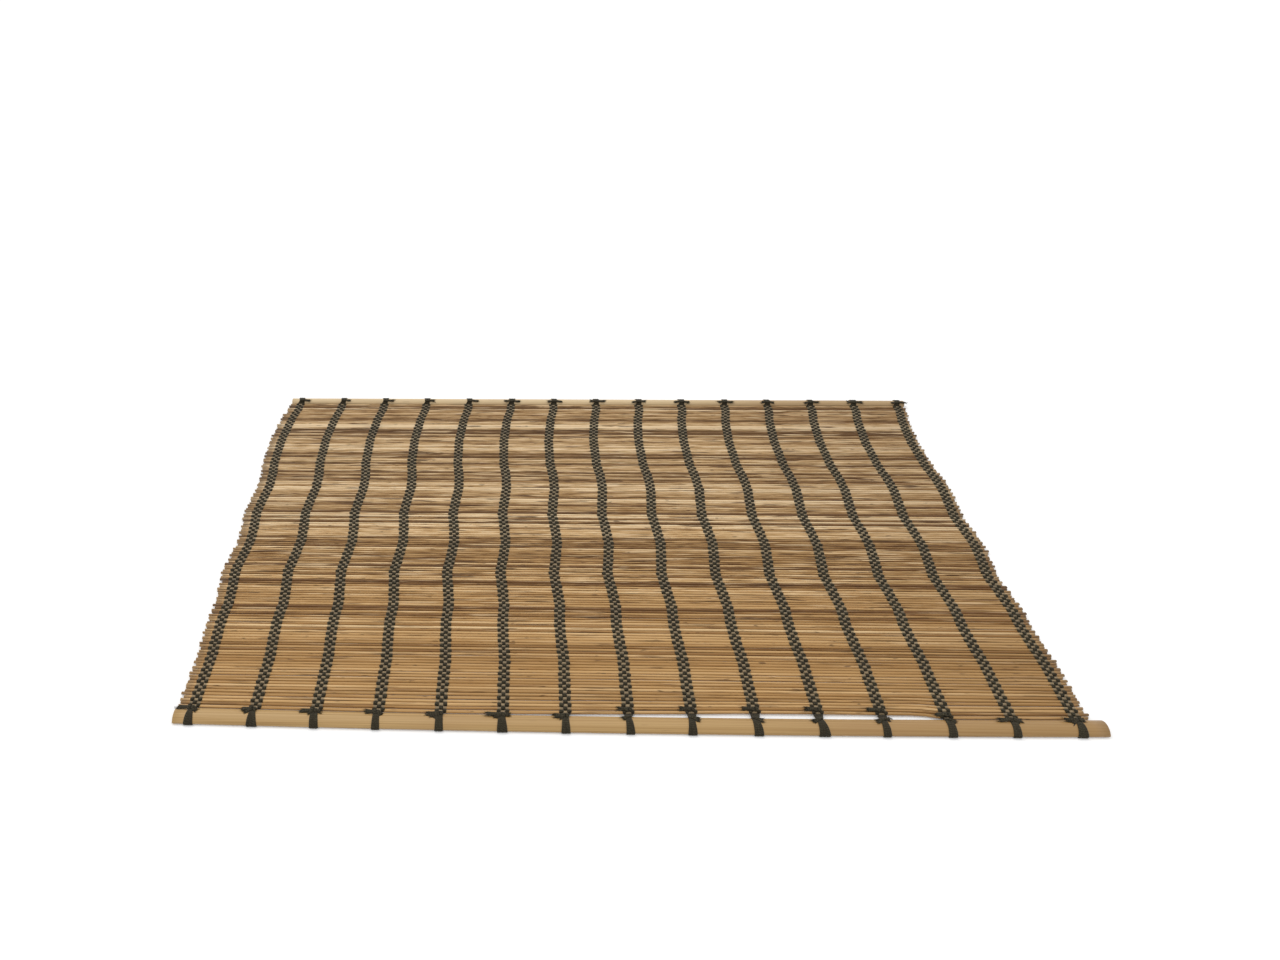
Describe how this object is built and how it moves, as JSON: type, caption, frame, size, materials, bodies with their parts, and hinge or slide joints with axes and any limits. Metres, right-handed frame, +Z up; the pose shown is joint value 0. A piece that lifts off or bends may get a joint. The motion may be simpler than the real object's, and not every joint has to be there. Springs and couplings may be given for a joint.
{
  "type": "sushi rolling mat",
  "caption": "Rolling mat of fine reeds woven side by side with dark cord bands and edged by two half-round bamboo battens; it lies flat or rolls up from the front.",
  "frame": {"origin": "middle of the mat's bounding box, on the table it lies on", "axes": "+X along the reeds to the right, +Y from the front batten to the rear batten, +Z up from the table"},
  "size_m": [0.4502, 0.3006, 0.0043],
  "materials": {
    "reed": "dry, unvarnished reed",
    "batten": "smooth split bamboo",
    "cord": "matte twisted cotton yarn"
  },
  "bodies": {
    "rear_edge": {"rear_batten": "batten", "rear_knots": "cord"},
    "group_01": {"reeds_01": "reed", "warp_cords_01": "cord"},
    "group_02": {"reeds_02": "reed", "warp_cords_02": "cord"},
    "group_03": {"reeds_03": "reed", "warp_cords_03": "cord"},
    "group_04": {"reeds_04": "reed", "warp_cords_04": "cord"},
    "group_05": {"reeds_05": "reed", "warp_cords_05": "cord"},
    "group_06": {"reeds_06": "reed", "warp_cords_06": "cord"},
    "group_07": {"reeds_07": "reed", "warp_cords_07": "cord"},
    "group_08": {"reeds_08": "reed", "warp_cords_08": "cord"},
    "group_09": {"reeds_09": "reed", "warp_cords_09": "cord"},
    "group_10": {"reeds_10": "reed", "warp_cords_10": "cord"},
    "group_11": {"reeds_11": "reed", "warp_cords_11": "cord"},
    "group_12": {"reeds_12": "reed", "warp_cords_12": "cord"},
    "group_13": {"reeds_13": "reed", "warp_cords_13": "cord"},
    "group_14": {"reeds_14": "reed", "warp_cords_14": "cord"},
    "group_15": {"reeds_15": "reed", "warp_cords_15": "cord"},
    "group_16": {"reeds_16": "reed", "warp_cords_16": "cord"},
    "group_17": {"reeds_17": "reed", "warp_cords_17": "cord"},
    "group_18": {"reeds_18": "reed", "warp_cords_18": "cord"},
    "group_19": {"reeds_19": "reed", "warp_cords_19": "cord"},
    "group_20": {"reeds_20": "reed", "warp_cords_20": "cord"},
    "group_21": {"reeds_21": "reed", "warp_cords_21": "cord"},
    "front_edge": {"front_batten": "batten", "front_knots": "cord"}
  },
  "joints": [
    {"name": "hinge_01", "type": "hinge", "parent": "group_01", "child": "front_edge", "pos_m": [0, -0.13764, 0.0012], "axis": [-1, 0, 0], "range_deg": [0, 25]},
    {"name": "hinge_02", "type": "hinge", "parent": "group_02", "child": "group_01", "pos_m": [0, -0.12427, 0.0012], "axis": [-1, 0, 0], "range_deg": [0, 40.8]},
    {"name": "hinge_03", "type": "hinge", "parent": "group_03", "child": "group_02", "pos_m": [0, -0.11089, 0.0012], "axis": [-1, 0, 0], "range_deg": [0, 39.3]},
    {"name": "hinge_04", "type": "hinge", "parent": "group_04", "child": "group_03", "pos_m": [0, -0.09753, 0.0012], "axis": [-1, 0, 0], "range_deg": [0, 38]},
    {"name": "hinge_05", "type": "hinge", "parent": "group_05", "child": "group_04", "pos_m": [0, -0.08415, 0.0012], "axis": [-1, 0, 0], "range_deg": [0, 36.7]},
    {"name": "hinge_06", "type": "hinge", "parent": "group_06", "child": "group_05", "pos_m": [0, -0.07079, 0.0012], "axis": [-1, 0, 0], "range_deg": [0, 35.6]},
    {"name": "hinge_07", "type": "hinge", "parent": "group_07", "child": "group_06", "pos_m": [0, -0.05742, 0.0012], "axis": [-1, 0, 0], "range_deg": [0, 34.6]},
    {"name": "hinge_08", "type": "hinge", "parent": "group_08", "child": "group_07", "pos_m": [0, -0.04405, 0.0012], "axis": [-1, 0, 0], "range_deg": [0, 33.7]},
    {"name": "hinge_09", "type": "hinge", "parent": "group_09", "child": "group_08", "pos_m": [0, -0.03068, 0.0012], "axis": [-1, 0, 0], "range_deg": [0, 32.8]},
    {"name": "hinge_10", "type": "hinge", "parent": "group_10", "child": "group_09", "pos_m": [0, -0.01731, 0.0012], "axis": [-1, 0, 0], "range_deg": [0, 32]},
    {"name": "hinge_11", "type": "hinge", "parent": "group_11", "child": "group_10", "pos_m": [0, -0.00394, 0.0012], "axis": [-1, 0, 0], "range_deg": [0, 31.3]},
    {"name": "hinge_12", "type": "hinge", "parent": "group_12", "child": "group_11", "pos_m": [0, 0.00944, 0.0012], "axis": [-1, 0, 0], "range_deg": [0, 30.6]},
    {"name": "hinge_13", "type": "hinge", "parent": "group_13", "child": "group_12", "pos_m": [0, 0.0228, 0.0012], "axis": [-1, 0, 0], "range_deg": [0, 29.9]},
    {"name": "hinge_14", "type": "hinge", "parent": "group_14", "child": "group_13", "pos_m": [0, 0.03617, 0.0012], "axis": [-1, 0, 0], "range_deg": [0, 29.3]},
    {"name": "hinge_15", "type": "hinge", "parent": "group_15", "child": "group_14", "pos_m": [0, 0.04954, 0.0012], "axis": [-1, 0, 0], "range_deg": [0, 28.7]},
    {"name": "hinge_16", "type": "hinge", "parent": "group_16", "child": "group_15", "pos_m": [0, 0.06291, 0.0012], "axis": [-1, 0, 0], "range_deg": [0, 28.2]},
    {"name": "hinge_17", "type": "hinge", "parent": "group_17", "child": "group_16", "pos_m": [0, 0.07629, 0.0012], "axis": [-1, 0, 0], "range_deg": [0, 27.7]},
    {"name": "hinge_18", "type": "hinge", "parent": "group_18", "child": "group_17", "pos_m": [0, 0.08965, 0.0012], "axis": [-1, 0, 0], "range_deg": [0, 27.2]},
    {"name": "hinge_19", "type": "hinge", "parent": "group_19", "child": "group_18", "pos_m": [0, 0.10303, 0.0012], "axis": [-1, 0, 0], "range_deg": [0, 26.7]},
    {"name": "hinge_20", "type": "hinge", "parent": "group_20", "child": "group_19", "pos_m": [0, 0.11639, 0.0012], "axis": [-1, 0, 0], "range_deg": [0, 26.3]},
    {"name": "hinge_21", "type": "hinge", "parent": "group_21", "child": "group_20", "pos_m": [0, 0.12976, 0.0012], "axis": [-1, 0, 0], "range_deg": [0, 25.9]},
    {"name": "hinge_22", "type": "hinge", "parent": "rear_edge", "child": "group_21", "pos_m": [0, 0.14314, 0.0012], "axis": [-1, 0, 0], "range_deg": [0, 25.5]}
  ]
}
